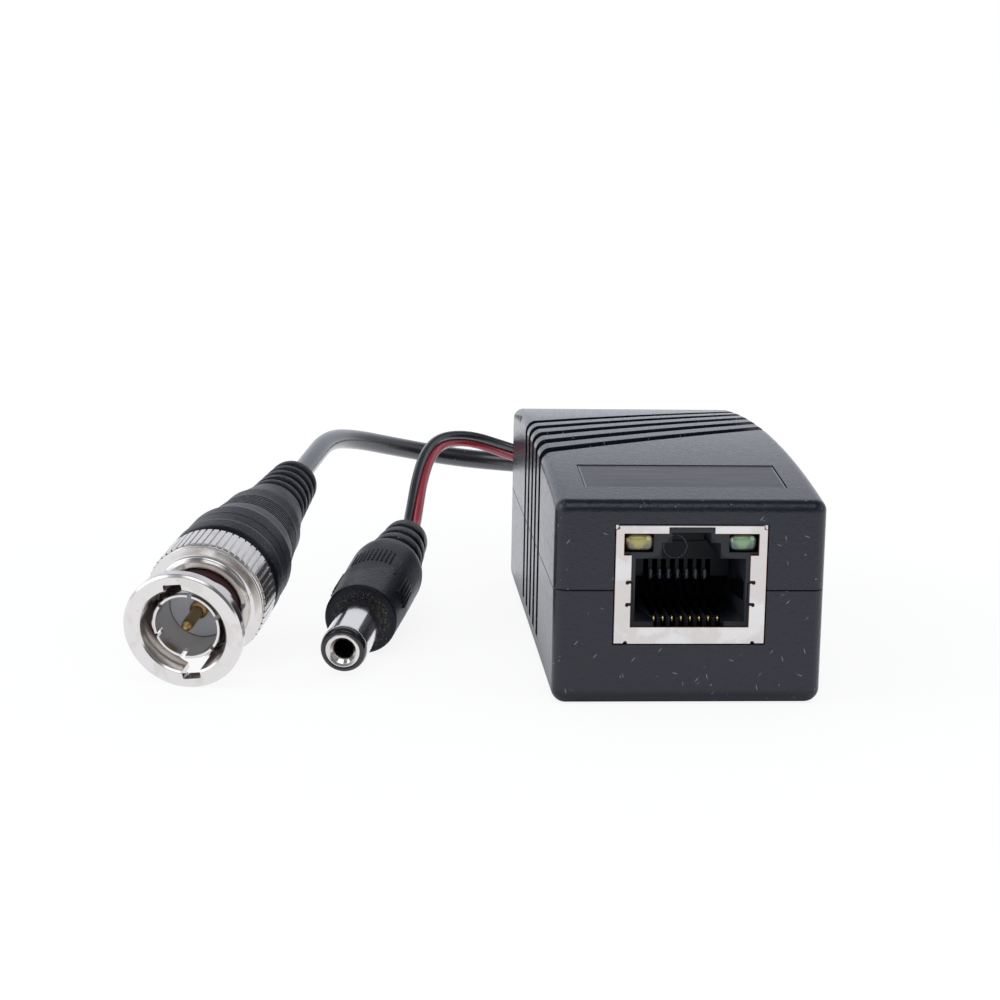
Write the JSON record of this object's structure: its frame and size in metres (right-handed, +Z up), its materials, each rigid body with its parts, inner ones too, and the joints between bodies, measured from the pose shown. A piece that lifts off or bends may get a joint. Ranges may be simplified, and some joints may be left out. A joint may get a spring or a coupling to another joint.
{
  "type": "video balun with network jack and leads",
  "caption": "Small arched plastic housing with a network jack in front and two short leads behind, one to a bayonet video plug, one to a barrel power plug.",
  "frame": {"origin": "centre of the housing's footprint on the surface it lies on", "axes": "+Z up, -Y out of the network jack, +Y along the housing towards its lead exits, +X to the right seen from the jack"},
  "size_m": [0.0775, 0.0834, 0.0253],
  "materials": {
    "housing_plastic": "fine spark-eroded matt",
    "label_film": "smooth, slightly glossy, bare",
    "board_laminate": "solder mask",
    "nickel_sheet": "bright nickel",
    "jack_plastic": "moulded",
    "lens_yellow": "translucent",
    "lens_green": "translucent",
    "ferrite": "coated",
    "enamelled_copper": "enamelled wire",
    "lacquer_yellow": "dipped lacquer",
    "lacquer_blue": "dipped lacquer",
    "tie_nylon": "natural nylon",
    "nickel_plated_brass": "satin nickel plate",
    "gold_plated_brass": "gold plate",
    "insulator_white": "moulded",
    "gasket_rubber": "moulded",
    "spring_steel": "plain",
    "boot_vinyl": "slightly glossy",
    "chromed_brass": "bright",
    "tip_plastic": "glossy",
    "lead_vinyl_black": "glossy",
    "lead_vinyl_red": "glossy"
  },
  "bodies": {
    "balun": {"housing_lid": "housing_plastic", "housing_tray": "housing_plastic", "label_plate": "label_film", "circuit_board": "board_laminate", "jack_shield": "nickel_sheet", "jack_body": "jack_plastic", "contact_comb": "jack_plastic", "lamp_yellow": "lens_yellow", "lamp_green": "lens_green", "transformer_base": "jack_plastic", "transformer_core": "ferrite", "transformer_winding": "enamelled_copper", "surge_suppressor": "jack_plastic", "resettable_fuse": "lacquer_yellow", "ceramic_capacitor": "lacquer_blue", "coax_tie": "tie_nylon", "dc_tie": "tie_nylon", "bnc_body": "nickel_plated_brass", "bnc_insulator": "insulator_white", "bnc_pin": "gold_plated_brass", "bnc_gasket": "gasket_rubber", "bnc_retaining_ring": "spring_steel", "bnc_wave_washer": "spring_steel", "bnc_boot": "boot_vinyl", "dc_barrel": "chromed_brass", "dc_inner_sleeve": "chromed_brass", "dc_tip_insulator": "tip_plastic", "dc_boot": "boot_vinyl", "coax_lead": "lead_vinyl_black", "dc_lead_black": "lead_vinyl_black", "dc_lead_red": "lead_vinyl_red", "jack_contact_1": "gold_plated_brass", "jack_contact_2": "gold_plated_brass", "jack_contact_3": "gold_plated_brass", "jack_contact_4": "gold_plated_brass", "jack_contact_5": "gold_plated_brass", "jack_contact_6": "gold_plated_brass", "jack_contact_7": "gold_plated_brass", "jack_contact_8": "gold_plated_brass"},
    "coupling_float": {"bnc_thrust_washer": "spring_steel"},
    "coupling_nut": {"bnc_nut": "nickel_plated_brass"}
  },
  "joints": [
    {"name": "nut_float", "type": "slide", "parent": "balun", "child": "coupling_float", "axis": [-0.2503, -0.9474, -0.1994], "range_m": [0, 0.0008], "stiffness_N_per_m": 3000, "springref_m": -0.0005, "deforming": ["bnc_wave_washer"]},
    {"name": "nut_turn", "type": "hinge", "parent": "coupling_float", "child": "coupling_nut", "pos_m": [-0.0542, -0.01916, 0.00803], "axis": [0.2503, 0.9474, 0.1994], "continuous": true}
  ]
}
